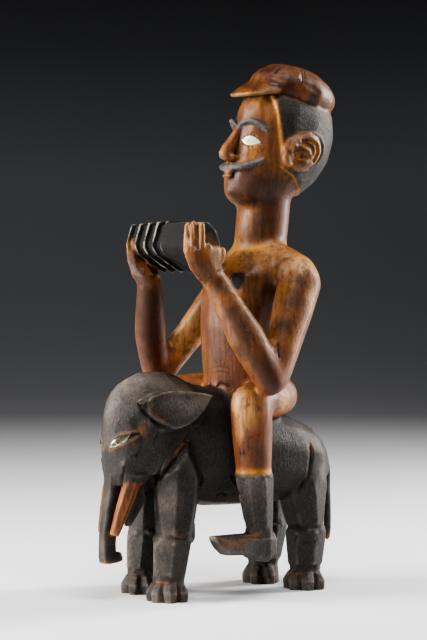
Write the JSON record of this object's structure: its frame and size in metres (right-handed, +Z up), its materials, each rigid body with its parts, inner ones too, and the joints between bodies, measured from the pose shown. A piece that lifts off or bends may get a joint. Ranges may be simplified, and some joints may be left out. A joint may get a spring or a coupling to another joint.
{
  "type": "carved wooden figure",
  "caption": "Carved wooden rider in a peaked cap playing a squeezebox, seated astride a standing elephant, with inlaid eyes and dark pigment on polished wood.",
  "frame": {"origin": "middle of the figure's box in plan, on the ground under the elephant's feet", "axes": "+Z up, the rider and the elephant face -Y, their left side is +X"},
  "size_m": [0.2692, 0.335, 0.6516],
  "materials": {
    "wood": "hand-carved hardwood, polished brown skin, blackened elephant, hair, boots and squeezebox",
    "pale_inlay": "pale painted plate, satin, with a grey iris",
    "mirror_inlay": "aged piece of mirror glass"
  },
  "bodies": {
    "root": {"carving": "wood", "rider_eye_left": "pale_inlay", "rider_eye_right": "pale_inlay", "elephant_eye_left": "mirror_inlay", "elephant_eye_right": "mirror_inlay"}
  },
  "joints": []
}
